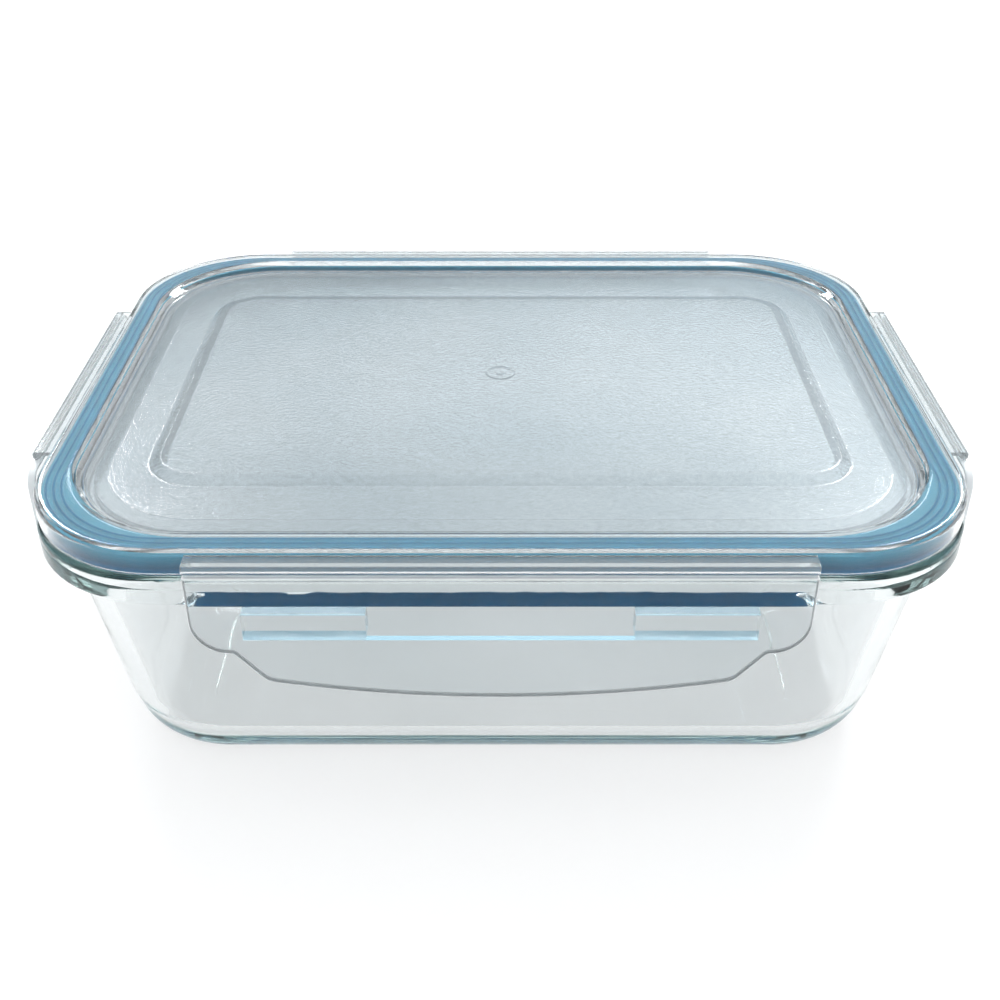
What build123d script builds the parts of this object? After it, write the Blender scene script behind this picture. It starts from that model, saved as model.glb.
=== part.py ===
"""Rectangular glass food storage container with a snap-down lid.

A pressed glass dish carries a moulded lid. A silicone ring in the lid's rim channel seals on the dish,
and four clips, hung from the lid on thin film hinges, hook under the dish's flange.

Frame: millimetres, +X along the length, +Z up, origin at the centre of the footprint on the table.
Lid and clip sections are drawn in (reach, height): reach is measured outwards from the lid's outer edge,
height is measured up from the top of the lid's rim.
"""

import os
from math import cos, radians, tan

from build123d import *

# Overall
total_height = 68.0
lid_length = 200.2
lid_width = 153.9
lid_corner = 31.7

# Glass dish
foot_length = 175.0
foot_width = 129.4
foot_corner = 25.0
corner_growth = 0.027
wall_draft = 7.8
wall = 4.0
floor_thickness = 5.0
glass_height = 61.8
outer_heel = 11.4
inner_heel = 8.0
push_up_depth = 0.6
push_up_inset = 17.0
flange_reach = 0.6
flange_face_bottom = 55.3
flange_slope = 33.0
flange_slope_depth = 5.2
rim_edge = 1.5

# Lid: rim, gasket channel, lowered panel, locating rib
rim_width = 8.7
rim_thickness = 1.5
rim_outer_round = 1.3
rim_inner_round = 0.6
rim_inner_slope = 45.0
panel_corner = 28.0
panel_drop = 2.0
panel_thickness = 1.5
skirt_depth = 6.0
skirt_thickness = 1.3
channel_wall = 1.7
channel_wall_depth = 4.6
rib_inset = 0.9
rib_thickness = 1.4
rib_depth = 8.5

# Lid: raised centre panel and moulding gate
plateau_length = 155.6
plateau_width = 99.4
plateau_corner = 12.0
plateau_rise = 1.7
plateau_bevel = 54.0
gate_radius = 3.6
gate_height = 0.2
sprue_radius = 1.4
sprue_height = 0.3

# Gasket
gasket_clearance = 0.2
gasket_top_gap = 0.1
gasket_bottom = 6.1
gasket_rib_height = 0.5
gasket_rib_width = 0.7
gasket_rib_pitch = 1.6

# Clip hinge: ledge on the lid, film web
ledge_top = 1.0
ledge_bottom = 1.9
bead_reach = 4.1
bead_bottom = 2.6
bead_round = 0.5
film_height = 1.0
film_thickness = 0.4
film_inner = 3.6
film_end_gap = 0.5

# Clip: plate, hook ribs, wings and finger tab
plate_inner = 2.7
plate_thickness = 1.8
plate_chamfer_width = 0.5
plate_chamfer_height = 0.5
flare_start = 21.0
flare_angle = 8.0
flare_radius = 10.0
section_end = 36.0
hook_tip = -1.2
hook_clearance = 0.3
hook_nose = 4.0
hook_bottom = 19.5
hook_root = 0.2
hook_length_share = 0.2
hook_place_share = 0.317
web_height = 0.8
web_depth = 0.6
wing_bottom = 22.0
wing_corner = 7.5
shoulder_inset = 8.3
shoulder_round = 1.5
tab_slant_inset = 14.8
tab_slant_bottom = 28.7
tab_bottom = 32.5
tab_round = 6.0

wing_top_round = 4.0

long_clip = 124.6
long_ledge = 124.6
short_clip = 86.0
short_ledge = 74.6


def rounded(length, width, corner, inset=0.0):
    """A rounded rectangle, moved in by an inset all round."""
    RectangleRounded(length - 2 * inset, width - 2 * inset, corner - inset)


def dish_outline(height, inset=0.0):
    """The dish's outer wall at a height, without its heel and flange; the wall leans outwards."""
    spread = 2 * height * tan(radians(wall_draft))
    corner = foot_corner + corner_growth * height
    rounded(foot_length + spread, foot_width + spread, corner, inset)


def lid_outline(inset=0.0):
    rounded(lid_length, lid_width, lid_corner, inset)


def panel_outline(inset=0.0):
    """The edge of the lowered panel, whose corners are rounder than the lid's own."""
    rounded(lid_length - 2 * rim_width, lid_width - 2 * rim_width, panel_corner, inset)


def cut_panel_outline(inset=0.0):
    """Takes the area inside the panel's edge out of the current sketch."""
    with BuildSketch(mode=Mode.PRIVATE) as middle:
        panel_outline(inset)
    add(middle.sketch, mode=Mode.SUBTRACT)


def below_top(depth):
    """The horizontal plane at a depth below the top of the lid's rim."""
    return Plane.XY.offset(total_height - depth)


class Side:
    """One side of the container: the way it faces, and the lengths of its ledge and clip."""

    def __init__(self, name, outward, ledge_length, clip_length):
        self.name = name
        self.outward = Vector(*outward)
        self.ledge_length = ledge_length
        self.clip_length = clip_length
        edge = lid_length / 2 if outward[0] else lid_width / 2
        self.origin = self.outward * edge + Vector(0, 0, total_height)

    def section(self, along=0.0):
        """The plane of a cross section at a place along the edge: reach along x, height along y."""
        along_edge = self.outward.cross(Vector(0, 0, 1))
        return Plane(self.origin + along_edge * along, x_dir=self.outward, z_dir=along_edge)

    def elevation(self):
        """The plane of the view from outside: along the edge is x, height is y."""
        return Plane(self.origin, x_dir=Vector(0, 0, 1).cross(self.outward), z_dir=self.outward)


sides = [
    Side("front", (0, -1, 0), long_ledge, long_clip),
    Side("back", (0, 1, 0), long_ledge, long_clip),
    Side("left", (-1, 0, 0), short_ledge, short_clip),
    Side("right", (1, 0, 0), short_ledge, short_clip),
]


def finish(part, name):
    part.label = name
    export_step(part, f"parts/{name}.step")


os.makedirs("parts", exist_ok=True)

# ---------------------------------------------------------------- glass dish
with BuildPart() as glass_base:
    for height in (0, flange_face_bottom):
        with BuildSketch(Plane.XY.offset(height)):
            dish_outline(height)
    loft()
    fillet(glass_base.faces().sort_by(Axis.Z)[0].edges(), radius=outer_heel)

    with BuildSketch(Plane.XY.offset(flange_face_bottom)):
        lid_outline(-flange_reach)
    extrude(amount=glass_height - flange_face_bottom)
    with BuildSketch(Plane.XY.offset(flange_face_bottom)):
        lid_outline(-flange_reach)
    extrude(amount=-flange_slope_depth, taper=90 - flange_slope)

    for height in (floor_thickness, total_height):
        with BuildSketch(Plane.XY.offset(height)):
            dish_outline(height, wall)
    loft(mode=Mode.SUBTRACT)
    floor_edges = glass_base.faces().filter_by(Plane.XY).sort_by(Axis.Z)[1].edges()
    fillet(floor_edges, radius=inner_heel)
    fillet(glass_base.faces().sort_by(Axis.Z)[-1].edges(), radius=rim_edge)

    with BuildSketch(Plane.XY):
        dish_outline(0, push_up_inset)
    extrude(amount=push_up_depth, mode=Mode.SUBTRACT)

finish(glass_base.part, "glass_base")

# ---------------------------------------------------------------- lid
panel_bottom = panel_drop + panel_thickness


def ledge_section():
    """The ledge outside the lid's skirt, with a bead along its outer edge that carries the hinge film."""
    with BuildLine() as outline:
        Polyline(
            (-skirt_thickness / 2, -ledge_top),
            (bead_reach, -ledge_top),
            (bead_reach, -bead_bottom),
            (plate_inner, -bead_bottom),
            (plate_inner - (bead_bottom - ledge_bottom), -ledge_bottom),
            (-skirt_thickness / 2, -ledge_bottom),
            close=True,
        )
    face = make_face(outline.edges())
    fillet(face.vertices().sort_by(Axis.X)[-2:].sort_by(Axis.Y)[-1], radius=bead_round)


with BuildPart() as lid:
    with BuildSketch(below_top(skirt_depth)):
        lid_outline()
    extrude(amount=skirt_depth)
    with BuildSketch(below_top(panel_drop)):
        panel_outline()
    extrude(amount=panel_drop, taper=-rim_inner_slope, mode=Mode.SUBTRACT)
    fillet(lid.faces().sort_by(Axis.Z)[-1].outer_wire().edges(), radius=rim_outer_round)
    fillet(lid.faces().sort_by(Axis.Z)[-1].inner_wires()[0].edges(), radius=rim_inner_round)

    with BuildSketch(below_top(skirt_depth)):
        lid_outline(skirt_thickness)
        cut_panel_outline(-channel_wall)
    extrude(amount=skirt_depth - rim_thickness, mode=Mode.SUBTRACT)
    with BuildSketch(below_top(skirt_depth)):
        panel_outline(-channel_wall)
    extrude(amount=skirt_depth - channel_wall_depth, mode=Mode.SUBTRACT)
    with BuildSketch(below_top(channel_wall_depth)):
        panel_outline()
    extrude(amount=channel_wall_depth - panel_bottom, mode=Mode.SUBTRACT)
    with BuildSketch(below_top(rib_depth)):
        panel_outline(rib_inset)
        cut_panel_outline(rib_inset + rib_thickness)
    extrude(amount=rib_depth - panel_bottom)

    with BuildSketch(below_top(panel_drop)):
        rounded(plateau_length, plateau_width, plateau_corner)
    extrude(amount=plateau_rise, taper=plateau_bevel)
    with BuildSketch(below_top(panel_bottom)):
        rounded(plateau_length, plateau_width, plateau_corner, panel_thickness)
    extrude(amount=plateau_rise, taper=plateau_bevel, mode=Mode.SUBTRACT)
    for radius, height in ((gate_radius, gate_height), (sprue_radius, sprue_height)):
        with BuildSketch(below_top(panel_drop - plateau_rise)):
            Circle(radius)
        extrude(amount=height)

    for side in sides:
        with BuildSketch(side.section()):
            ledge_section()
        extrude(amount=side.ledge_length / 2, both=True)

finish(lid.part, "lid")

# ---------------------------------------------------------------- gasket
gasket_outer = skirt_thickness + gasket_clearance
gasket_body_top = rim_thickness + gasket_top_gap + gasket_rib_height

with BuildPart() as gasket:
    with BuildSketch(below_top(gasket_bottom)):
        lid_outline(gasket_outer)
        cut_panel_outline(-channel_wall - gasket_clearance)
    extrude(amount=gasket_bottom - gasket_body_top)
    for step in range(3):
        rib_outer = gasket_outer + gasket_rib_width + step * gasket_rib_pitch
        with BuildSketch(below_top(gasket_body_top)):
            lid_outline(rib_outer)
            with BuildSketch(mode=Mode.PRIVATE) as rib_middle:
                lid_outline(rib_outer + gasket_rib_width)
            add(rib_middle.sketch, mode=Mode.SUBTRACT)
        extrude(amount=gasket_rib_height)

finish(gasket.part, "gasket")

# ---------------------------------------------------------------- clips and film hinges
plate_top = bead_bottom + film_height
plate_outer = plate_inner + plate_thickness
flange_drop = total_height - flange_face_bottom


def hook_top(reach):
    """Height of the hook's bearing face, which lies along the underside of the glass flange."""
    rise = (reach - flange_reach) * tan(radians(flange_slope))
    return rise - flange_drop - hook_clearance / cos(radians(flange_slope))


def plate_section():
    """The clip's plate: straight beside the flange, flared outwards below for the fingers."""
    flare = (section_end - flare_start) * tan(radians(flare_angle))
    with BuildLine() as outline:
        Polyline(
            (plate_inner, -plate_top),
            (plate_outer - plate_chamfer_width, -plate_top),
            (plate_outer, -plate_top - plate_chamfer_height),
            (plate_outer, -flare_start),
            (plate_outer + flare, -section_end),
            (plate_inner + flare, -section_end),
            (plate_inner, -flare_start),
            close=True,
        )
    face = make_face(outline.edges())
    bends = face.vertices().filter_by_position(Axis.Y, -flare_start - 0.1, -flare_start + 0.1)
    fillet(bends, radius=flare_radius)


def hook_section():
    """A hook rib on the inside of the plate, which bears on the glass flange."""
    with BuildLine() as outline:
        Polyline(
            (plate_inner + hook_root, hook_top(flange_reach)),
            (flange_reach, hook_top(flange_reach)),
            (hook_tip, hook_top(hook_tip)),
            (hook_tip, hook_top(hook_tip) - hook_nose),
            (plate_inner + hook_root, -hook_bottom),
            close=True,
        )
    make_face(outline.edges())


def clip_outline(length):
    """The clip seen from outside: two rounded wings and a bowed finger tab between them."""
    half = length / 2
    shoulder = half - shoulder_inset
    slant = half - tab_slant_inset
    with BuildLine() as outline:
        Polyline(
            (-slant, -tab_slant_bottom),
            (-shoulder, -wing_bottom),
            (-half, -wing_bottom),
            (-half, -plate_top),
            (half, -plate_top),
            (half, -wing_bottom),
            (shoulder, -wing_bottom),
            (slant, -tab_slant_bottom),
        )
        ThreePointArc((slant, -tab_slant_bottom), (0, -tab_bottom), (-slant, -tab_slant_bottom))
    make_face(outline.edges())


corner_rounds = [(0, wing_corner), (shoulder_inset, shoulder_round), (tab_slant_inset, tab_round)]

for side in sides:
    hook_length = hook_length_share * side.clip_length
    hook_place = hook_place_share * side.clip_length
    with BuildPart() as clip:
        with BuildSketch(side.section()):
            plate_section()
        extrude(amount=side.clip_length / 2, both=True)
        for place in (-hook_place, hook_place):
            with BuildSketch(side.section(place)):
                hook_section()
            extrude(amount=hook_length / 2, both=True)
        with BuildSketch(side.section()):
            with Locations((plate_inner - web_depth / 2, -hook_bottom + web_height / 2)):
                Rectangle(web_depth + 2 * hook_root, web_height)
        extrude(amount=hook_place, both=True)
        with BuildSketch(side.elevation()) as front_view:
            clip_outline(side.clip_length)
            for inset, radius in corner_rounds:
                corners = front_view.vertices().filter_by_position(Axis.Y, -tab_slant_bottom, -wing_bottom)
                half_width = side.clip_length / 2 - inset
                fillet([corner for corner in corners if abs(abs(corner.X) - half_width) < 0.01], radius)
            if side.clip_length > side.ledge_length:
                fillet(front_view.vertices().group_by(Axis.Y)[-1], wing_top_round)
        extrude(amount=2 * section_end, both=True, mode=Mode.INTERSECT)
    finish(clip.part, f"{side.name}_clip")

    with BuildPart() as film:
        with BuildSketch(side.section()):
            with Locations((film_inner + film_thickness / 2, -bead_bottom - film_height / 2)):
                Rectangle(film_thickness, film_height)
        extrude(amount=side.ledge_length / 2 - film_end_gap, both=True)
    finish(film.part, f"{side.name}_hinge_film")
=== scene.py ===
"""Glass food storage container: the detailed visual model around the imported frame.

Every piece is swept or cut in code from the same sections as the frame's own parts, with the roundings,
ripples and hinge webs that the plain frame leaves out. Sections are in millimetres, pieces in metres.
Heights called "drop" are measured down from the top of the lid's rim, "reach" outwards from its outer edge.
"""
import math

import bmesh
import bpy
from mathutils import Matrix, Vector, noise


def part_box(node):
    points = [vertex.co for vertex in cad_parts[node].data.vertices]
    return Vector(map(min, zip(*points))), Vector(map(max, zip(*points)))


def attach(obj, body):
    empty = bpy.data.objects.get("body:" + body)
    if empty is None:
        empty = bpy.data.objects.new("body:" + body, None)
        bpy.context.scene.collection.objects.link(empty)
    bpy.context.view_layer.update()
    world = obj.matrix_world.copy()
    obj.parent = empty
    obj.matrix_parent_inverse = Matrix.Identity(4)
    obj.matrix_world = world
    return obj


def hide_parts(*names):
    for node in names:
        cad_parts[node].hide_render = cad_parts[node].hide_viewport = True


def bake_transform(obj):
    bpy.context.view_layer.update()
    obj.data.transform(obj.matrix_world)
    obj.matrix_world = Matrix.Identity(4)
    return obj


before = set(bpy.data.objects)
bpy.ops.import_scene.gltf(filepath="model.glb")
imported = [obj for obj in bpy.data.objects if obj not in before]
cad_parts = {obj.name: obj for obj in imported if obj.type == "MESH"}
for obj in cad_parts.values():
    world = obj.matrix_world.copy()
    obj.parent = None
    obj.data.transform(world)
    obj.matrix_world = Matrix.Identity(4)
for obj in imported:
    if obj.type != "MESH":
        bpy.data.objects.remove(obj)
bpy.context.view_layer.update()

MM = 0.001

# ------------------------------------------------------------------ sizes from the frame
lid_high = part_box("lid")[1] / MM
gasket_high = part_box("gasket")[1] / MM
glass_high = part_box("glass_base")[1] / MM

skirt_to_gasket = 1.5
top = lid_high.z
edge_x = gasket_high.x + skirt_to_gasket
edge_y = gasket_high.y + skirt_to_gasket
edge_corner = 31.7
glass_top = glass_high.z
flange_reach = glass_high.x - edge_x

# ------------------------------------------------------------------ sizes of the sections
# dish
foot_x, foot_y, foot_corner = 87.5, 64.7, 25.0
corner_growth = 0.027
lean_degrees = 7.8
lean = math.tan(math.radians(lean_degrees))
wall = 4.0
floor_top = 5.0
outer_heel, inner_heel = 11.4, 8.0
push_up, push_up_inset = 0.6, 17.0
flange_bottom = 55.3
rim_round = 1.5
seam_drop = 9.0
catch_slope, flange_slope_drop = math.tan(math.radians(18)), 16.4
catch_overlap, catch_fade, flange_band = 3.0, 2.4, 8.0
# lid
rim_width = 8.7
lid_round = 1.4
panel_corner = 28.0
panel_drop, panel_thickness = 2.0, 1.5
skirt_depth, skirt_thickness = 6.0, 1.3
channel_wall, channel_wall_depth, channel_roof = 1.7, 4.6, 1.5
rib_inset, rib_thickness, rib_depth = 0.9, 1.4, 8.5
plateau_x, plateau_y, plateau_corner = 77.8, 49.7, 12.0
plateau_rise, plateau_bevel_width = 1.7, 2.34
gate_radius, gate_height, sprue_radius = 3.6, 0.2, 1.4
crown_depth = 0.35
frost_inset, grain_inset, ledge_haze = 0.4, 5.6, 0.55
# hinge and clips
ledge_top, ledge_bottom = 1.0, 1.9
bead_reach, bead_bottom = 4.1, 2.6
film_height, film_thickness, film_inner = 1.0, 0.4, 3.6
plate_inner, plate_thickness = 2.7, 1.8
flare_start, flare_slope = 21.0, math.tan(math.radians(8.0))
wing_bottom, wing_corner = 22.0, 7.5
shoulder_inset, slant_inset, slant_bottom, tab_bottom = 8.3, 14.8, 28.7, 32.5
clip_top_corner, shoulder_round, tab_corner = 4.0, 1.5, 5.0
hook_tip, hook_bottom, hook_nose, hook_clearance = -1.2, 19.5, 6.2, 0.5
hook_place_share, hook_half_share = 0.634, 0.2
flank_drop = 18.5

sides = {
    "front": dict(outward=Vector((0, -1, 0)), edge=edge_y, clip=62.3, ledge=62.3),
    "back": dict(outward=Vector((0, 1, 0)), edge=edge_y, clip=62.3, ledge=62.3),
    "left": dict(outward=Vector((-1, 0, 0)), edge=edge_x, clip=43.0, ledge=37.3),
    "right": dict(outward=Vector((1, 0, 0)), edge=edge_x, clip=43.0, ledge=37.3),
}

# ------------------------------------------------------------------ outlines
corner_steps, long_steps, short_steps = 18, 56, 40


def outline(half_x, half_y, corner, z):
    """A loop of points round a rounded rectangle; every loop has the same number of points."""
    corner = max(corner, 0.5)
    arcs = []
    for quarter, (x_sign, y_sign) in enumerate(((1, 1), (-1, 1), (-1, -1), (1, -1))):
        centre = Vector((x_sign * (half_x - corner), y_sign * (half_y - corner), z))
        angles = [(quarter + step / corner_steps) * math.pi / 2 for step in range(corner_steps + 1)]
        arcs.append([centre + corner * Vector((math.cos(angle), math.sin(angle), 0)) for angle in angles])
    points = []
    for quarter, arc_points in enumerate(arcs):
        following = arcs[(quarter + 1) % len(arcs)][0]
        steps = short_steps if quarter % 2 else long_steps
        points += arc_points
        points += [arc_points[-1].lerp(following, step / steps) for step in range(1, steps)]
    return points


def dish(inset, z, outline_z=None):
    """The dish's leaning outer wall, moved in by an inset; outline_z keeps the outline of another height."""
    at = z if outline_z is None else outline_z
    corner = foot_corner + corner_growth * at - inset
    return outline(foot_x + lean * at - inset, foot_y + lean * at - inset, corner, z)


def rim(inset, drop):
    """The lid's outer edge, moved in by an inset."""
    return outline(edge_x - inset, edge_y - inset, edge_corner - inset, top - drop)


def panel(inset, drop):
    """The edge of the lid's lowered panel, moved in by an inset."""
    return outline(edge_x - rim_width - inset, edge_y - rim_width - inset, panel_corner - inset, top - drop)


def plateau(inset, drop):
    """The foot of the lid's raised centre, moved in by an inset."""
    return outline(plateau_x - inset, plateau_y - inset, plateau_corner - inset, top - drop)


def towards_centre(loop, share, radius, z):
    """The loop drawn towards a circle of a radius about the middle, by a share of the way."""
    points = []
    for point in loop:
        flat = Vector((point.x, point.y, 0))
        inner = flat.normalized() * radius
        moved = flat.lerp(inner, share)
        points.append(Vector((moved.x, moved.y, z)))
    return points


def arc(inset, height, radius, start, end, steps):
    """(inset, height) pairs on an arc: 0 degrees is outermost, 90 is highest."""
    pairs = []
    for step in range(steps + 1):
        angle = math.radians(start + (end - start) * step / steps)
        pairs.append((inset - radius * math.cos(angle), height + radius * math.sin(angle)))
    return pairs


def between(first, last, steps):
    """The (inset, height) pairs strictly between two pairs."""
    pairs = []
    for step in range(1, steps):
        share = step / steps
        pairs.append((first[0] + (last[0] - first[0]) * share, first[1] + (last[1] - first[1]) * share))
    return pairs


# ------------------------------------------------------------------ meshes
def new_object(name, points, faces):
    """A mesh object in the scene from points in millimetres."""
    mesh = bpy.data.meshes.new(name)
    mesh.from_pydata([Vector(p) * MM for p in points], [], faces)
    mesh.validate()
    obj = bpy.data.objects.new(name, mesh)
    bpy.context.scene.collection.objects.link(obj)
    return obj


def skin(name, loops, start_z=None, end_z=None):
    """A closed skin through loops: a ring, or, given two heights, one capped in the middle at both ends."""
    count = len(loops[0])
    last = (len(loops) - 1) * count
    points = [point for loop in loops for point in loop]
    faces = []
    for row in range(len(loops) - 1):
        for column in range(count):
            following = (column + 1) % count
            a, b = row * count + column, row * count + following
            faces.append((a, b, b + count, a + count))
    if start_z is None:
        faces += [(last + i, last + (i + 1) % count, (i + 1) % count, i) for i in range(count)]
    else:
        points += [Vector((0, 0, start_z)), Vector((0, 0, end_z))]
        first_centre, last_centre = len(points) - 2, len(points) - 1
        for column in range(count):
            following = (column + 1) % count
            faces.append((first_centre, following, column))
            faces.append((last_centre, last + column, last + following))
    obj = new_object(name, points, faces)
    outward(obj)
    return obj


def outward(obj):
    """Merge points that coincide, and turn every face outwards."""
    mesh = bmesh.new()
    mesh.from_mesh(obj.data)
    bmesh.ops.remove_doubles(mesh, verts=mesh.verts, dist=0.002 * MM)
    bmesh.ops.recalc_face_normals(mesh, faces=mesh.faces)
    mesh.to_mesh(obj.data)
    mesh.free()


def smooth(obj, angle):
    """Smooth shading with edges kept where faces meet sharply, weighted towards the large faces."""
    obj.data.shade_smooth()
    obj.data.set_sharp_from_angle(angle=math.radians(angle))
    weighted = obj.modifiers.new("weighted", "WEIGHTED_NORMAL")
    weighted.keep_sharp = True
    weighted.weight = 60


def apply_modifiers(obj):
    """Put the mesh that the modifiers give in place of the object's own."""
    evaluated = obj.evaluated_get(bpy.context.evaluated_depsgraph_get())
    mesh = bpy.data.meshes.new_from_object(evaluated)
    obj.modifiers.clear()
    obj.data = mesh


def unite(obj, others):
    """Join other solids to the object, and remove them."""
    for other in others:
        union = obj.modifiers.new("union", "BOOLEAN")
        union.operation = "UNION"
        union.solver = "EXACT"
        union.object = other
    apply_modifiers(obj)
    for other in others:
        bpy.data.objects.remove(other)


def side_point(side, along, reach, drop):
    """A point from its place along a side, its reach and its drop."""
    out = side["outward"]
    along_edge = Vector((0, 0, 1)).cross(out)
    return out * (side["edge"] + reach) + along_edge * along + Vector((0, 0, top - drop))


def prism(name, side, section, start, end):
    """A bar along a side with a section of (reach, drop) points."""
    points = [side_point(side, along, reach, drop) for along in (start, end) for reach, drop in section]
    count = len(section)
    faces = [tuple(range(count)), tuple(range(2 * count - 1, count - 1, -1))]
    faces += [(i, (i + 1) % count, (i + 1) % count + count, i + count) for i in range(count)]
    obj = new_object(name, points, faces)
    outward(obj)
    return obj


def round_path(points, rounds, steps):
    """A closed 2D path with chosen corners rounded: rounds maps a corner's place in the list to a radius."""
    path = []
    count = len(points)
    for place, point in enumerate(points):
        corner = Vector(point)
        radius = rounds.get(place, 0)
        if not radius:
            path.append(corner)
            continue
        to_last = (Vector(points[place - 1]) - corner).normalized()
        to_next = (Vector(points[(place + 1) % count]) - corner).normalized()
        half = to_last.angle(to_next) / 2
        tangent = radius / math.tan(half)
        centre = corner + (to_last + to_next).normalized() * radius / math.sin(half)
        first, last = corner + to_last * tangent - centre, corner + to_next * tangent - centre
        turn = first.angle_signed(last)
        for step in range(steps + 1):
            angle = -turn * step / steps
            rotated = Vector((first.x * math.cos(angle) - first.y * math.sin(angle),
                              first.x * math.sin(angle) + first.y * math.cos(angle)))
            path.append(centre + rotated)
    return path


# ------------------------------------------------------------------ glass dish
def make_dish():
    """One closed skin: under the foot, up the outside, over the rim, down the inside and over the floor."""
    hollow = push_up_inset + 1.4
    loops = [towards_centre(dish(hollow, push_up, 0), share, 4, push_up) for share in (0.99, 0.6, 0.25)]
    foot_pairs = ((hollow, push_up), (push_up_inset + 0.7, push_up / 2), (push_up_inset, 0))
    loops += [dish(inset, z, 0) for inset, z in foot_pairs]
    loops += outer_wall() + flange_underside() + flange_and_rim() + cavity()
    obj = skin("glass_dish", loops, push_up, floor_top)
    ripple(obj)
    smooth(obj, 40)
    return obj


def outer_wall():
    """Loops from the foot's edge round the heel and up the leaning wall, as far as the flange."""
    heel_inset = outer_heel / math.tan(math.radians((90 + lean_degrees) / 2))
    heel = arc(heel_inset, outer_heel, outer_heel, -90, -lean_degrees, 14)
    loops = [outline(foot_x - i, foot_y - i, foot_corner - i + corner_growth * z, z) for i, z in heel]
    wall_start, wall_end, steps = heel[-1][1], top - flange_slope_drop - 1.5, 14
    wall_heights = [wall_start + (wall_end - wall_start) * step / steps for step in range(1, steps + 1)]
    return loops + [dish(0, z) for z in wall_heights]


def flange_and_rim():
    """Loops up the flange's face, with the mould's seam as a fine groove, and over the rim."""
    face, lip = -flange_reach, top - flange_bottom
    loops = [rim(i, d) for i, d in between((face, lip - 0.25), (face, seam_drop + 0.2), 5)]
    loops += [rim(face, seam_drop + 0.2), rim(face + 0.12, seam_drop + 0.05),
              rim(face + 0.12, seam_drop - 0.05), rim(face, seam_drop - 0.25)]
    rim_top = top - glass_top
    loops += [rim(i, -h) for i, h in arc(face + rim_round, -rim_top - rim_round, rim_round, 0, 90, 8)]
    loops += [rim(i, rim_top) for i in (2.5, 4.5)]
    inner_round = arc(-rim_round, glass_top - rim_round, rim_round, 90, 180, 8)
    return loops + [dish(i + wall, z, glass_top) for i, z in inner_round]


def cavity():
    """Loops down the inside of the wall, round the inner heel and over the floor."""
    high = glass_top - rim_round
    low = floor_top + inner_heel * (1 - math.sin(math.radians(lean_degrees)))
    steps = 12
    loops = [dish(wall, high + (low - high) * step / steps) for step in range(1, steps + 1)]
    heel_inset = wall + inner_heel / math.tan(math.radians((90 + lean_degrees) / 2))
    for inset, z in arc(heel_inset, floor_top + inner_heel, inner_heel, -lean_degrees, -90, steps)[1:]:
        loops.append(outline(foot_x + lean * floor_top - inset, foot_y + lean * floor_top - inset,
                             foot_corner + corner_growth * floor_top - inset, z))
    return loops + [towards_centre(loops[-1], share, 4, floor_top) for share in (0.25, 0.6, 0.99)]


def catch_share(point):
    """One under a clip, where the flange's underside rises to catch the hooks, and nought elsewhere."""
    for side in sides.values():
        along = abs(point.dot(Vector((0, 0, 1)).cross(side["outward"])))
        on_this_side = point.dot(side["outward"]) > side["edge"] - flange_band
        if on_this_side:
            return min(max((side["clip"] + catch_overlap - along) / catch_fade, 0), 1)
    return 0


def flange_underside():
    """Loops from the wall to the flange's lower edge: a slope, but a rising catch under each clip."""
    lip = top - flange_bottom
    slope_pairs = ((5.35, 3.76), (4.9, 3.3), (4.3, 2.65), (3.6, 2.3), (2.8, 2.1),
                   (2.0, 1.75), (1.2, 1.15), (0.6, 0.55), (0.1, 0.15), (-0.3, 0.0))
    slope_loops = [rim(inset, lip + below) for inset, below in slope_pairs]
    catch_loops = [dish(-0.3, top - drop) for drop in (flange_slope_drop, 15.0, 13.2, 11.6)]
    catch_insets = (3.9, 2.9, 1.9, 1.0, 0.2, -0.3)
    catch_loops += [rim(inset, lip - (inset + flange_reach) * catch_slope) for inset in catch_insets]
    loops = []
    for slope_loop, catch_loop in zip(slope_loops, catch_loops):
        pairs = zip(slope_loop, catch_loop)
        loops.append([point.lerp(caught, catch_share(point)) for point, caught in pairs])
    return loops + [rim(-flange_reach + 0.06, lip - 0.03), rim(-flange_reach, lip - 0.25)]


def ripple(obj):
    """The faint unevenness of pressed glass: long ripples in the walls, and a wavy mould seam."""
    outside_radius, seam_half = 76, 0.6
    for vertex in obj.data.vertices:
        spot = vertex.co / MM
        if abs(top - spot.z - seam_drop) < seam_half and spot.to_2d().length > outside_radius:
            vertex.co.z += 0.22 * MM * noise.noise(spot * 0.35) + 0.2 * MM * noise.noise(spot * 0.07)
        if 12 < spot.z < top - 13:
            sideways = Vector((spot.x, spot.y, 0)).normalized()
            vertex.co += sideways * 0.05 * MM * noise.noise(spot * 0.06)


# ------------------------------------------------------------------ lid
def make_lid():
    """One closed skin from the gate mark over the top and back under, with the ledges united to it."""
    loops = lid_centre() + lid_top_and_skirt() + lid_underside()
    plateau_under = top - panel_drop - panel_thickness + plateau_rise
    obj = skin("lid_shell", loops, top - 0.05, plateau_under)
    crown(obj)
    unite(obj, [make_ledge(name, side) for name, side in sides.items()])
    spots = [vertex.co / MM for vertex in obj.data.vertices]
    frost = [max(panel_share(spot, frost_inset), ledge_haze if beyond_skirt(spot) else 0) for spot in spots]
    grain = [panel_share(spot, grain_inset) for spot in spots]
    for name, shares in (("frost", frost), ("grain", grain)):
        zone = obj.data.attributes.new(name, "FLOAT", "POINT")
        for item, share in zip(zone.data, shares):
            item.value = share
    smooth(obj, 35)
    return obj


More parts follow.
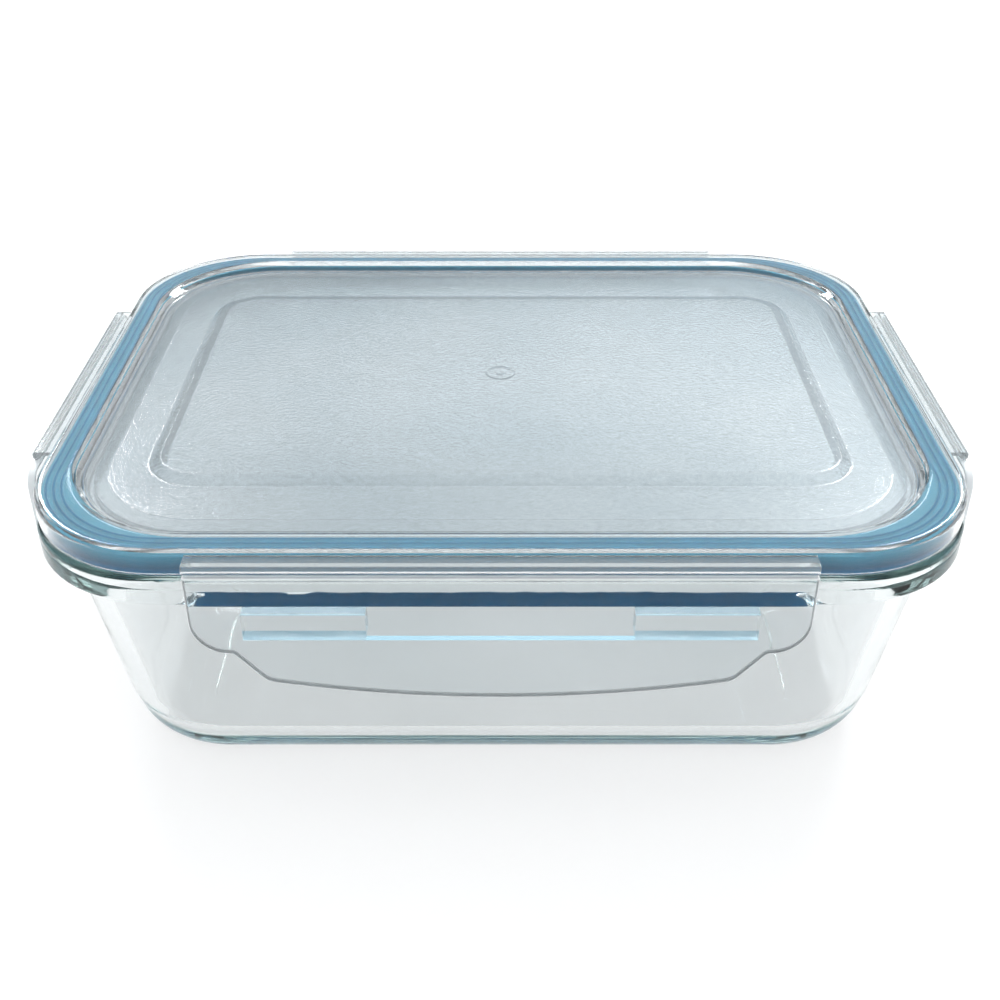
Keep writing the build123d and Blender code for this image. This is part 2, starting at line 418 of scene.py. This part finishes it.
def lid_centre():
    """Loops over the gate mark, the raised centre and its bevel, down to the panel."""
    plateau_top = panel_drop - plateau_rise
    gate_top = plateau_top - gate_height
    edge_loop = plateau(plateau_bevel_width, plateau_top)
    gate_rings = ((sprue_radius - 1.0, 0.06), (sprue_radius - 0.45, 0.08), (sprue_radius - 0.15, 0.14),
                  (sprue_radius, gate_top + 0.12), (sprue_radius + 0.2, gate_top + 0.16),
                  (gate_radius - 0.7, gate_top + 0.16), (gate_radius - 0.4, gate_top + 0.02),
                  (gate_radius - 0.15, gate_top + 0.02), (gate_radius, gate_top + 0.2),
                  (gate_radius + 0.2, plateau_top), (gate_radius + 1.9, plateau_top))
    loops = [towards_centre(edge_loop, 1, radius, top - drop) for radius, drop in gate_rings]
    for share in (0.85, 0.7, 0.5, 0.3, 0.12, 0.04):
        loops.append(towards_centre(edge_loop, share, gate_radius + 1.9, top - plateau_top))
    bevel = ((plateau_bevel_width + 0.5, plateau_top), (plateau_bevel_width + 0.1, plateau_top + 0.05),
             (plateau_bevel_width - 0.25, plateau_top + 0.22),
             (plateau_bevel_width / 2, plateau_top + plateau_rise / 2),
             (0.25, panel_drop - 0.2), (-0.15, panel_drop - 0.04), (-0.6, panel_drop))
    return loops + [plateau(inset, drop) for inset, drop in bevel]


def lid_top_and_skirt():
    """Loops over the panel, up to the rim, over its rounded edge and down the skirt into the channel."""
    step_and_wall = ((10.0, panel_drop), (5.9, panel_drop), (5.7, panel_drop + 0.05),
                     (5.4, panel_drop + 0.05), (1.0, panel_drop + 0.05), (0.5, panel_drop + 0.02),
                     (0.1, panel_drop - 0.12), (-0.3, panel_drop - 0.42), (-1.4, 0.62),
                     (-1.75, 0.28), (-2.1, 0.08), (-2.5, 0.0))
    loops = [panel(inset, drop) for inset, drop in step_and_wall]
    loops += [rim(inset, 0) for inset in (5.2, 4.0, 2.8, 1.9)]
    loops += [rim(i, -h) for i, h in arc(lid_round, -lid_round, lid_round, 90, 0, 8)]
    skirt = ((0, 2.4), (0, 3.6), (0, 4.8), (0, 5.7), (0.1, 5.93), (0.3, skirt_depth),
             (skirt_thickness - 0.25, skirt_depth), (skirt_thickness - 0.05, 5.93), (skirt_thickness, 5.75),
             (skirt_thickness, 4.5), (skirt_thickness, 3.0), (skirt_thickness, channel_roof + 0.2),
             (skirt_thickness + 0.2, channel_roof), (3.0, channel_roof), (5.0, channel_roof))
    return loops + [rim(inset, drop) for inset, drop in skirt]


def lid_underside():
    """Loops round the channel's inner wall and the locating rib, and under the panel and raised centre."""
    under = panel_drop + panel_thickness
    plateau_under = under - plateau_rise
    rib_inner = rib_inset + rib_thickness
    section = ((-channel_wall - 0.2, channel_roof), (-channel_wall, channel_roof + 0.2),
               (-channel_wall, channel_wall_depth - 0.15), (-channel_wall + 0.15, channel_wall_depth),
               (-0.15, channel_wall_depth), (0, channel_wall_depth - 0.15),
               (0, under + 0.15), (0.15, under), (rib_inset - 0.15, under),
               (rib_inset, under + 0.15), (rib_inset, rib_depth - 0.4), (rib_inset + 0.3, rib_depth),
               (rib_inner - 0.3, rib_depth), (rib_inner, rib_depth - 0.4), (rib_inner, under + 0.15),
               (rib_inner + 0.15, under))
    loops = [panel(inset, drop) for inset, drop in section]
    bevel_end = panel_thickness + plateau_bevel_width
    bevel = ((panel_thickness - 0.5, under), (panel_thickness, under - 0.1),
             (bevel_end - 0.2, plateau_under + 0.15), (bevel_end + 0.3, plateau_under))
    loops += [plateau(inset, drop) for inset, drop in bevel]
    centre_edge = plateau(bevel_end, plateau_under)
    return loops + [towards_centre(centre_edge, share, 3, top - plateau_under) for share in (0.3, 0.7, 0.99)]


def beyond_skirt(point):
    """Whether a point is on a ledge."""
    return abs(point.x) > edge_x + 0.1 or abs(point.y) > edge_y + 0.1


def panel_share(point, inset):
    """One inside the panel's outline moved in by an inset, and nought outside it."""
    half_x, half_y = edge_x - rim_width - inset, edge_y - rim_width - inset
    corner = panel_corner - inset
    past_x, past_y = abs(point.x) - half_x + corner, abs(point.y) - half_y + corner
    distance = math.hypot(max(past_x, 0), max(past_y, 0)) + min(max(past_x, past_y), 0) - corner
    return min(max(-distance / 0.2 + 0.5, 0), 1)


def crown(obj):
    """The centre panel's slight doming, which the mould leaves as the plastic cools."""
    for vertex in obj.data.vertices:
        x, y = abs(vertex.co.x / MM) / plateau_x, abs(vertex.co.y / MM) / plateau_y
        if x < 1 and y < 1 and vertex.co.z / MM > top - 4:
            vertex.co.z -= crown_depth * MM * (1 - (1 - x ** 4) * (1 - y ** 4)) * (1 - max(x, y) ** 8)


def make_ledge(name, side):
    """The shelf on the skirt that a clip hangs from, with a rounded bead along its outer edge."""
    inner = -skirt_thickness / 2
    section = [(inner, ledge_top), (bead_reach - 0.55, ledge_top), (bead_reach - 0.25, ledge_top + 0.07),
               (bead_reach - 0.07, ledge_top + 0.25), (bead_reach, ledge_top + 0.55),
               (bead_reach, bead_bottom - 0.12), (bead_reach - 0.1, bead_bottom), (plate_inner, bead_bottom),
               (plate_inner - bead_bottom + ledge_bottom, ledge_bottom), (inner, ledge_bottom)]
    return prism(name + "_ledge", side, section, -side["ledge"], side["ledge"])


# ------------------------------------------------------------------ seal ring
def make_seal():
    """The blue ring in the lid's channel: a body with small round ribs on top."""
    outer, roof, body = skirt_to_gasket, 1.6, 2.1
    rib_count, first_rib, rib_pitch = 3, 0.7, 1.6
    bottom = top - glass_top - 0.02
    outside = ((outer + 0.25, bottom), (outer, bottom - 0.25), (outer, body + 0.25), (outer + 0.15, body))
    loops = [rim(inset, drop) for inset, drop in outside]
    for rib in range(rib_count):
        start = outer + first_rib + rib_pitch * rib
        rib_section = ((-0.15, body), (0, body - 0.2), (0.15, roof + 0.05), (0.35, roof),
                       (0.55, roof + 0.05), (0.7, body - 0.2), (0.85, body))
        loops += [rim(start + across, drop) for across, drop in rib_section]
    inside = ((0.35, body), (0.2, body + 0.25), (0.2, bottom - 0.25), (0.45, bottom))
    loops += [panel(-channel_wall - gap, drop) for gap, drop in inside]
    loops += [rim(inset, bottom) for inset in (4.5, 2.8)]
    obj = skin("seal_ring", loops)
    smooth(obj, 50)
    return obj


# ------------------------------------------------------------------ clips
def flare(drop):
    """How far the finger tab stands out at a drop; the bend is a soft one."""
    past = drop - flare_start
    softness = 1.2
    return flare_slope * (past + math.sqrt(past * past + softness * softness)) / 2


def clip_profile(half, overhang):
    """Half of the clip's outline, from its top to the middle of its tab, as (along, drop) pairs."""
    shoulder, slant = half - shoulder_inset, half - slant_inset
    plate_top = bead_bottom + film_height
    sag = tab_bottom - slant_bottom
    shares = [1 - step / 12 for step in range(1, 12)]
    bow = [(slant * share, slant_bottom + sag * (1 - share ** 2)) for share in shares]
    corners = [(0, plate_top), (half, plate_top), (half, wing_bottom - 0.1), (shoulder, wing_bottom + 0.2),
               (slant, slant_bottom)] + bow + [(0, tab_bottom)]
    rounds = {2: wing_corner, 3: shoulder_round, 4: tab_corner}
    if overhang:
        rounds[1] = clip_top_corner
    rounded = round_path(corners, rounds, 9)[1:]
    profile = [rounded[0]]
    for point in rounded[1:]:
        start = profile[-1]
        longest = 0.5 if flare_start - 2 < point.y < flare_start + 8 else 3
        steps = max(1, math.ceil((point - start).length / longest))
        profile += [start.lerp(point, step / steps) for step in range(1, steps + 1)]
    return profile


def inset_profile(profile, inset):
    """The profile moved inwards; it starts at the corner at the top and ends on the middle line."""
    moved = []
    for place, point in enumerate(profile):
        before = profile[place - 1] if place else Vector((0, profile[0].y))
        after = profile[place + 1] if place + 1 < len(profile) else Vector((-profile[-2].x, profile[-2].y))
        first, second = (point - before).normalized(), (after - point).normalized()
        normal = Vector((-first.y, first.x)) + Vector((-second.y, second.x))
        length = max(normal.length_squared / 2, 0.4)
        moved.append(point + normal * inset / length)
    return moved


def make_clip(name, side):
    """A clip; "edge" marks its matte edges, and the flank attribute the lower flanks of its hooks, which are
    milky and carry a painted blue reflection of the seal and a painted glow.
    """
    profile = clip_profile(side["clip"], side["clip"] > side["ledge"])
    edge = [(0.34, 0.0), (0.17, 0.06), (0.05, 0.18), (0.0, 0.36)]
    rings = edge + [(inset, plate_thickness - depth) for inset, depth in reversed(edge)]
    half_count = len(profile)
    count = 2 * half_count - 1
    points = []
    for inset, depth in rings:
        moved = inset_profile(profile, inset)
        for along, drop in [tuple(p) for p in moved] + [(-p.x, p.y) for p in reversed(moved[:-1])]:
            points.append(side_point(side, along, plate_inner + depth + flare(drop), drop))
    faces = []
    for ring in range(len(rings) - 1):
        for column in range(count):
            a, b = ring * count + column, ring * count + (column + 1) % count
            faces.append((a, b, b + count, a + count))
    for start in (0, (len(rings) - 1) * count):
        for row in range(half_count - 2):
            other = start + count - 1 - row
            faces.append((start + row, start + row + 1, other - 1, other))
        middle = start + half_count - 1
        faces.append((middle - 1, middle, middle + 1))
    obj = new_object(name, points, faces)
    zone = obj.data.attributes.new("edge", "FLOAT", "POINT")
    for place, item in enumerate(zone.data):
        item.value = 1.0 if 0 < place // count < len(rings) - 1 else 0.0
    outward(obj)
    unite(obj, make_hooks(side))
    # mark the hooks' lower flanks: milky, and where the material paints a blue reflection of the seal and a
    # glow
    flank_haze_and_glow = obj.data.attributes.new("flank_haze_and_glow", "FLOAT", "FACE")
    for face, item in zip(obj.data.polygons, flank_haze_and_glow.data):
        centre = face.center / MM
        inside = centre.dot(side["outward"]) - side["edge"] < plate_inner - 0.05
        item.value = 1.0 if inside and centre.z < top - flank_drop else 0.0
    smooth(obj, 35)
    return obj


def make_hooks(side):
    """Two hook ribs on the inside of a clip, and the low web that joins them."""
    face = plate_inner + 0.3
    flange_edge = top - flange_bottom + hook_clearance / math.cos(math.atan(catch_slope))
    tip_drop = flange_edge - (flange_reach - hook_tip) * catch_slope
    section = [(face, flange_edge), (flange_reach, flange_edge), (hook_tip + 0.1, tip_drop - 0.05),
               (hook_tip, tip_drop + 0.1), (hook_tip, tip_drop + hook_nose), (face, hook_bottom)]
    web = [(face, hook_bottom - 0.8), (plate_inner - 0.6, hook_bottom - 0.65),
           (plate_inner - 0.6, hook_bottom - 0.15), (face, hook_bottom)]
    middle, half = hook_place_share * side["clip"], hook_half_share * side["clip"]
    hooks = [prism("hook", side, section, way * middle - half, way * middle + half) for way in (-1, 1)]
    return hooks + [prism("web", side, web, -middle, middle)]


def make_film(name, side):
    """The thin web that a clip hangs from, a little waisted, in rows."""
    half = side["ledge"] - 0.5
    rows, columns = 8, 24
    points, faces = [], []
    for row in range(rows + 1):
        share = row / rows
        drop = bead_bottom - 0.02 + (film_height + 0.04) * share
        waist = film_thickness * (0.5 - 0.12 * math.sin(math.pi * share))
        for column in range(columns + 1):
            along = -half + 2 * half * column / columns
            middle = film_inner + film_thickness / 2
            points += [side_point(side, along, middle + way * waist, drop) for way in (-1, 1)]
    stride = 2 * (columns + 1)
    for row in range(rows):
        for column in range(columns):
            a = row * stride + 2 * column
            faces.append((a, a + 2, a + 2 + stride, a + stride))
            faces.append((a + 1, a + 1 + stride, a + 3 + stride, a + 3))
        for a in (row * stride, row * stride + 2 * columns):
            faces.append((a, a + 1, a + 1 + stride, a + stride))
    for row in (0, rows):
        for column in range(columns):
            a = row * stride + 2 * column
            faces.append((a, a + 1, a + 3, a + 2))
    obj = new_object(name, points, faces)
    outward(obj)
    smooth(obj, 50)
    return obj


# ------------------------------------------------------------------ shader nodes
def add_node(tree, kind, linked=None, fixed=None, **settings):
    """A shader node with its settings, its inputs that other nodes' outputs feed, and its fixed inputs."""
    node = tree.nodes.new("ShaderNode" + kind)
    for setting, value in settings.items():
        setattr(node, setting, value)
    feed(tree, node, linked or {})
    for socket, value in (fixed or {}).items():
        node.inputs[socket].default_value = value
    return node


def feed(tree, node, sources):
    """Link inputs of a node to other nodes' outputs."""
    for socket, source in sources.items():
        tree.links.new(source, node.inputs[socket])


def new_material(name, fixed):
    """A node material with one shader, and the shader's values that hold for the whole surface."""
    material = bpy.data.materials.new(name)
    material.use_nodes = True
    tree = material.node_tree
    tree.nodes.clear()
    shader = add_node(tree, "BsdfPrincipled", fixed=fixed)
    add_node(tree, "OutputMaterial", {"Surface": shader.outputs[0]})
    return material, tree, shader


def grey(level):
    return (level, level, level, 1)


def own_place(tree):
    """The place on the object itself, in metres."""
    return add_node(tree, "TexCoord").outputs["Object"]


def noise_value(tree, scale, detail=2.0):
    """Noise with scale in features per metre."""
    fixed = {"Scale": scale, "Detail": detail}
    return add_node(tree, "TexNoise", {"Vector": own_place(tree)}, fixed).outputs["Fac"]


def attribute_value(tree, name):
    """The share that the meshing code marked each point or face with."""
    return add_node(tree, "Attribute", attribute_name=name).outputs["Fac"]


def place_along(tree, axis):
    """The place along X, Y or Z, in metres."""
    return add_node(tree, "SeparateXYZ", {"Vector": own_place(tree)}).outputs[axis]


def spread(tree, source, low, high, start=0.0, end=1.0):
    """A number from start to end, turned into one from low to high."""
    fixed = {"From Min": start, "From Max": end, "To Min": low, "To Max": high}
    return add_node(tree, "MapRange", {"Value": source}, fixed).outputs[0]


def ramp(tree, source, stops):
    """A number turned into a colour, between (position, colour) stops."""
    node = add_node(tree, "ValToRGB", {"Fac": source})
    elements = node.color_ramp.elements
    for element, (position, colour) in zip(elements, (stops[0], stops[-1])):
        element.position, element.color = position, (*colour, 1)
    for position, colour in stops[1:-1]:
        elements.new(position).color = (*colour, 1)
    return node.outputs[0]


def calculate(tree, operation, first, second):
    """One number from two."""
    return add_node(tree, "Math", {0: first, 1: second}, operation=operation).outputs[0]


def scaled(tree, colour, factor):
    """A colour made lighter or darker by a factor."""
    return add_node(tree, "VectorMath", {0: colour, "Scale": factor}, operation="SCALE").outputs[0]


def add_bump(tree, shader, source, distance, strength):
    bump = add_node(tree, "Bump", {"Height": source}, {"Distance": distance, "Strength": strength})
    feed(tree, shader, {"Normal": bump.outputs[0]})


# ------------------------------------------------------------------ materials
mix_first, mix_second, mix_result = 6, 7, 2    # a Mix node's colour sockets


def glass_material():
    """Clear pressed glass, faintly green where the light's way through it is long."""
    material, tree, shader = new_material("pressed_glass", {
        "Transmission Weight": 1.0, "IOR": 1.48, "Specular Tint": grey(0.15)})
    tint = ramp(tree, noise_value(tree, 18), [(0.3, (0.87, 0.885, 0.89)), (0.7, (0.91, 0.92, 0.925))])
    feed(tree, shader, {"Base Color": tint, "Roughness": spread(tree, noise_value(tree, 60), 0.0, 0.03)})
    add_bump(tree, shader, noise_value(tree, 70, 1), 0.00012, 0.5)
    absorption = add_node(tree, "VolumeAbsorption", fixed={"Color": (0.68, 0.84, 0.82, 1), "Density": 12})
    feed(tree, tree.nodes["Material Output"], {"Volume": absorption.outputs[0]})
    return material


def clip_material():
    """Clear plastic, matte along its edges; milky on the hooks' lower flanks, which also get a painted blue
    reflection of the seal and a painted glow.
    """
    # the emission colour is for a painted glow on the hooks' lower flanks, standing in for blue light from
    # the seal
    material, tree, shader = new_material("clear_clip", {
        "IOR": 1.49, "Specular Tint": grey(0.06), "Emission Color": (0.45, 0.72, 0.86, 1)})
    edge, flank_haze_and_glow = attribute_value(tree, "edge"), attribute_value(tree, "flank_haze_and_glow")
    clear, milky = spread(tree, edge, 0.99, 0.15), spread(tree, flank_haze_and_glow, 1.0, 0.6)
    plate_tint = ramp(tree, noise_value(tree, 25), [(0.3, (0.88, 0.91, 0.92)), (0.7, (0.92, 0.94, 0.95))])
    # painted reflection: the hooks' lower flanks are tinted blue as if they mirrored the seal
    painted_seal_reflection = ramp(tree, flank_haze_and_glow, [(0.0, (1, 1, 1)), (1.0, (0.68, 0.9, 1))])
    tint = add_node(tree, "VectorMath", {0: plate_tint, 1: painted_seal_reflection}, operation="MULTIPLY").outputs[0]
    polish, wear = spread(tree, edge, 0.0, 0.35), spread(tree, noise_value(tree, 90), 0.02, 0.07)
    # the emission strength paints the glow on the lower flanks only
    feed(tree, shader, {
        "Base Color": tint, "Transmission Weight": calculate(tree, "MULTIPLY", clear, milky),
        "Emission Strength": spread(tree, flank_haze_and_glow, 0.0, 0.42),
        "Roughness": calculate(tree, "ADD", polish, wear)})
    add_bump(tree, shader, noise_value(tree, 160), 0.00004, 0.3)
    return material


def lid_material():
    """Clear polished plastic at the rim and ledges; the panel inside them is grained and milky, with painted
    light that makes it paler towards the right.
    """
    material, tree, shader = new_material("frosted_lid", {"IOR": 1.49, "Specular Tint": grey(0.4)})
    frost, grained = attribute_value(tree, "frost"), attribute_value(tree, "grain")
    cloud = noise_value(tree, 14)
    rim_tint = ramp(tree, cloud, [(0.3, (0.88, 0.92, 0.93)), (0.7, (0.91, 0.94, 0.95))])
    panel_tint = ramp(tree, cloud, [(0.3, (0.55, 0.625, 0.665)), (0.7, (0.63, 0.69, 0.72))])
    # painted light and shade: the panel is painted darker on the left and paler on the right, where more
    # light falls
    painted_light_to_right = spread(tree, place_along(tree, "X"), 0.92, 1.14, -0.08, 0.08)
    speckle = spread(tree, noise_value(tree, 1100), 0.8, 1.2)
    panel_tint = scaled(tree, panel_tint, calculate(tree, "MULTIPLY", painted_light_to_right, speckle))
    milkiness = add_node(tree, "Math", {0: frost}, {1: 3}, operation="POWER").outputs[0]
    tints = {"Factor": milkiness, mix_first: rim_tint, mix_second: panel_tint}
    tint = add_node(tree, "Mix", tints, data_type="RGBA")
    feed(tree, shader, {
        "Base Color": tint.outputs[mix_result], "Transmission Weight": spread(tree, frost, 0.97, 0.8),
        "Roughness": spread(tree, frost, 0.04, 0.2)})
    height = calculate(tree, "MULTIPLY", noise_value(tree, 1300), grained)
    add_bump(tree, shader, height, 0.00014, 0.8)
    return material


def silicone_material():
    """Blue silicone, coloured by height: a painted sheen on its ribbed top, painted shade deep in its body
    down in the channel, and brighter where it meets the glass.
    """
    material, tree, shader = new_material("blue_silicone", {
        "Subsurface Weight": 0.1, "Subsurface Radius": (0.0006, 0.0012, 0.0018), "Subsurface Scale": 1.0,
        "Specular IOR Level": 0.2})
    # painted light and shade by height: painted shade on the body in the channel, a paler painted sheen just
    # under the rib tops, darker rib tops where they press on the lid, and brighter at the foot on the glass
    height = spread(tree, place_along(tree, "Z"), 0, 1, (top - 6.2) * MM, (top - 1.6) * MM)
    depth = ramp(tree, height, [(0.0, (0.002, 0.27, 0.6)), (0.3, (0.004, 0.15, 0.3)),
                                (0.84, (0.05, 0.38, 0.57)), (0.93, (0.17, 0.53, 0.7)),
                                (1.0, (0.015, 0.26, 0.48))])
    mottle = spread(tree, noise_value(tree, 140, 4), 0.85, 1.15)
    rough = spread(tree, noise_value(tree, 900), 0.3, 0.5)
    feed(tree, shader, {"Base Color": scaled(tree, depth, mottle), "Roughness": rough})
    add_bump(tree, shader, noise_value(tree, 1500), 0.00003, 0.5)
    return material


# ------------------------------------------------------------------ assembly
glass = glass_material()
lid_plastic = lid_material()
clip_plastic = clip_material()
silicone = silicone_material()


def assign(obj, body, node, material):
    """Give a piece its material, and let it stand for a node of the frame on that node's body."""
    obj.data.materials.clear()
    obj.data.materials.append(material)
    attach(obj, body)
    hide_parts(node)


assign(make_dish(), "base", "glass_base", glass)
assign(make_lid(), "lid", "lid", lid_plastic)
assign(make_seal(), "lid", "gasket", silicone)
for side_name, side in sides.items():
    clip_name = side_name + "_clip"
    assign(make_clip(clip_name + "_shell", side), clip_name, clip_name, clip_plastic)
    film = make_film(side_name + "_hinge_web", side)
    film.data.materials.append(lid_plastic)
    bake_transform(film)
    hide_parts(side_name + "_hinge_film")


# ------------------------------------------------------------------ floor, light and camera
def make_floor():
    """A plain pale floor that glows a little, as a lit studio table does."""
    half, just_below = 4, -0.0003
    mesh = bpy.data.meshes.new("floor")
    corners = [(-half, -half, 0), (half, -half, 0), (half, half, 0), (-half, half, 0)]
    mesh.from_pydata(corners, [], [(0, 1, 2, 3)])
    mesh.materials.append(new_material("floor_white", {
        "Base Color": (0.34, 0.342, 0.345, 1), "Roughness": 0.8,
        "Emission Color": grey(1), "Emission Strength": 0.7})[0])
    floor = bpy.data.objects.new("floor", mesh)
    floor.location = (0, 0, just_below)
    bpy.context.scene.collection.objects.link(floor)


def area_light(name, location, size, power):
    """A soft strip that points at the middle of the object."""
    target = Vector((0, 0, 0.06))
    data = bpy.data.lights.new(name, "AREA")
    data.shape = "RECTANGLE"
    data.size, data.size_y = size
    data.energy = power
    light = bpy.data.objects.new(name, data)
    light.location = location
    light.rotation_euler = (target - Vector(location)).to_track_quat("-Z", "Y").to_euler()
    bpy.context.scene.collection.objects.link(light)


def make_studio():
    """A room in grey bands by height, which the glass mirrors; seen directly, it is plain pale grey."""
    world = bpy.data.worlds.new("studio")
    world.use_nodes = True
    tree = world.node_tree
    direction = add_node(tree, "TexCoord").outputs["Generated"]
    height = add_node(tree, "SeparateXYZ", {"Vector": direction}).outputs["Z"]
    levels = ((0.05, 0.75), (0.07, 0.03), (0.2, 0.03), (0.24, 0.6), (0.5, 0.65), (0.62, 1.0), (0.75, 1.3))
    bands = [(position, (level * 0.96, level * 0.985, level)) for position, level in levels]
    room = ramp(tree, height, [(0.0, (0.8, 0.82, 0.84)), *bands, (1.0, (1.5, 1.5, 1.5))])
    seen_directly = add_node(tree, "LightPath").outputs["Is Camera Ray"]
    colour = add_node(tree, "Mix", {"Factor": seen_directly, mix_first: room},
                      {mix_second: (0.85, 0.86, 0.87, 1)}, data_type="RGBA")
    feed(tree, tree.nodes["Background"], {"Color": colour.outputs[mix_result]})
    bpy.context.scene.world = world


def make_camera():
    """A camera in front of the object and above it."""
    data = bpy.data.cameras.new("camera")
    data.sensor_width = 36
    data.lens = 46.62
    data.shift_x, data.shift_y = -0.0005, -0.0104
    camera = bpy.data.objects.new("camera", data)
    camera.location = (0, -0.28508, 0.21398)
    camera.rotation_euler = (math.radians(57.68), 0, 0)
    bpy.context.scene.collection.objects.link(camera)
    bpy.context.scene.camera = camera


make_floor()
area_light("left_strip", (-0.55, 0.85, 0.75), (0.12, 0.4), 5)
area_light("right_strip", (0.6, 0.8, 0.8), (0.2, 0.4), 9)
make_studio()
make_camera()
bpy.context.scene.view_settings.view_transform = "Standard"

# light passes so many surfaces of glass and plastic that fewer bounces leave black lines
bounces = 32
cycles = bpy.context.scene.cycles
cycles.max_bounces = cycles.transmission_bounces = cycles.glossy_bounces = bounces
